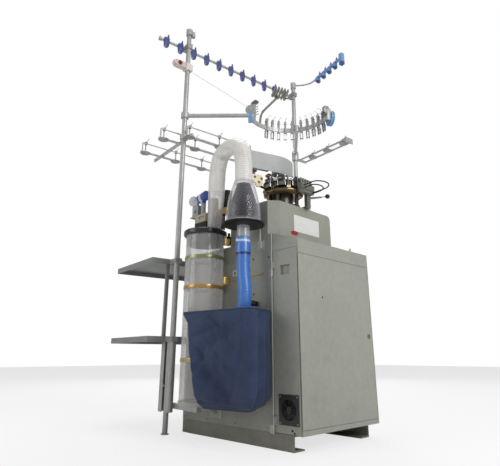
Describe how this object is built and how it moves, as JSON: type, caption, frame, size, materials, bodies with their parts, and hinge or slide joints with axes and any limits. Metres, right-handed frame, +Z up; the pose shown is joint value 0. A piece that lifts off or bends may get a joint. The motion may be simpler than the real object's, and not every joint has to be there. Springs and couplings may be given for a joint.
{
  "type": "small-diameter circular knitting machine",
  "caption": "Circular sock knitting machine on a grey cabinet, with clear collector, hose, bag, yarn stand, guide rail, creel and side shelves.",
  "frame": {"origin": "middle of the four floor bolt holes, on the floor", "axes": "+Z up; +X out of the large front door; -Y towards the work side with the collector and the bag"},
  "size_m": [1.2332, 1.13, 2.2587],
  "materials": {
    "cabinet_paint": "satin grey powder coat",
    "housing_paint": "satin grey paint",
    "galvanised": "dull zinc",
    "machined_steel": "machined",
    "bright_steel": "polished",
    "dark_bronze": "dark oiled",
    "shield_grey": "light grey satin",
    "cream_plate": "cream satin",
    "cast_motor": "cast, painted dark grey",
    "black_plastic": "matte",
    "clear_plastic": "clear gloss",
    "clear_hose": "translucent",
    "dark_liner": "dark matte",
    "blue_plastic": "gloss",
    "cloth": "woven dark blue cloth",
    "brass_parts": "tarnished",
    "beige_plastic": "matte",
    "valve_grey": "satin",
    "guide_blue": "blue-violet satin",
    "bank_blue": "light blue gloss",
    "lamp_plastic": "gloss",
    "rubber": "matte",
    "stand_dark": "dark satin",
    "shelf_paint": "grey satin"
  },
  "bodies": {
    "machine": {"base_skids": "cabinet_paint", "cabinet_shell": "cabinet_paint", "top_cover": "cabinet_paint", "side_hinges": "galvanised", "upper_housing": "housing_paint", "bed_plate": "machined_steel", "cam_ring": "dark_bronze", "dial_carrier": "housing_paint", "head_shield": "shield_grey", "feeder_bracket": "cream_plate", "feeder_fingers": "machined_steel", "spring_bank": "valve_grey", "lever_bracket": "machined_steel", "main_motor": "cast_motor", "drive_belt": "rubber", "cable_outer": "rubber", "cable_inner": "rubber", "suction_hose": "clear_hose", "blue_hose": "blue_plastic", "collector_tube": "clear_plastic", "collector_bands": "brass_parts", "collector_lid": "black_plastic", "collector_pipe": "clear_plastic", "collector_base": "black_plastic", "bell_cone": "clear_plastic", "bell_liner": "dark_liner", "bell_flange": "black_plastic", "bell_post": "galvanised", "hose_cuff": "blue_plastic", "sock_bag": "cloth", "bag_frame": "galvanised", "filter_box": "beige_plastic", "valve_unit": "valve_grey", "left_mast": "galvanised", "stand_foot": "galvanised", "right_mast": "galvanised", "mast_clamps": "machined_steel", "top_rail": "galvanised", "yarn_guides": "guide_blue", "beacon_lamp": "lamp_plastic", "arc_rail": "shield_grey", "feeler_units": "valve_grey", "arc_end_plates": "valve_grey", "tension_stack": "stand_dark", "tension_bank": "bank_blue", "creel_rails": "galvanised", "cone_holders": "black_plastic", "upper_shelf": "shelf_paint", "lower_shelf": "shelf_paint"},
    "front_door": {"front_door": "cabinet_paint"},
    "door_lock": {"door_lock": "machined_steel"},
    "side_door": {"side_door": "cabinet_paint", "fan_guard": "black_plastic"},
    "fan_rotor": {"fan_rotor": "black_plastic"},
    "needle_cylinder": {"needle_cylinder": "machined_steel", "needles": "bright_steel"},
    "dial": {"dial": "machined_steel"},
    "drive_shaft": {"drive_shaft": "machined_steel"},
    "motor_pulley": {"motor_pulley": "machined_steel"},
    "lift_lever": {"lift_lever": "machined_steel"}
  },
  "joints": [
    {"name": "front_door_hinge", "type": "hinge", "parent": "machine", "child": "front_door", "pos_m": [0.3723, -0.26, 0.4155], "axis": [0, 0, -1], "range_deg": [0, 110]},
    {"name": "door_lock_turn", "type": "hinge", "parent": "front_door", "child": "door_lock", "pos_m": [0.37, 0.229, 0.428], "axis": [1, 0, 0], "range_deg": [0, 90]},
    {"name": "side_door_hinge", "type": "hinge", "parent": "machine", "child": "side_door", "pos_m": [0.229, -0.268, 0.42], "axis": [0, 0, -1], "range_deg": [0, 65]},
    {"name": "fan_spin", "type": "hinge", "parent": "side_door", "child": "fan_rotor", "pos_m": [0.308, -0.255, 0.1453], "axis": [0, 1, 0], "continuous": true},
    {"name": "cylinder_spin", "type": "hinge", "parent": "machine", "child": "needle_cylinder", "pos_m": [0.15, -0.095, 1.05], "axis": [0, 0, 1], "continuous": true},
    {"name": "dial_spin", "type": "hinge", "parent": "machine", "child": "dial", "pos_m": [0.15, -0.095, 1.16], "axis": [0, 0, 1], "continuous": true},
    {"name": "shaft_spin", "type": "hinge", "parent": "machine", "child": "drive_shaft", "pos_m": [0.054, -0.095, 0.76], "axis": [0, 0, 1], "continuous": true},
    {"name": "motor_spin", "type": "hinge", "parent": "machine", "child": "motor_pulley", "pos_m": [-0.19, -0.095, 0.52], "axis": [0, 0, 1], "continuous": true},
    {"name": "lever_swing", "type": "hinge", "parent": "machine", "child": "lift_lever", "pos_m": [0.222, 0.004, 1.091], "axis": [0, 0, 1], "range_deg": [-12, 45]}
  ],
  "couplings": [
    {"joint": "dial_spin", "follows": "cylinder_spin", "ratio": 1},
    {"joint": "shaft_spin", "follows": "cylinder_spin", "ratio": -3},
    {"joint": "motor_spin", "follows": "cylinder_spin", "ratio": -4.5}
  ]
}
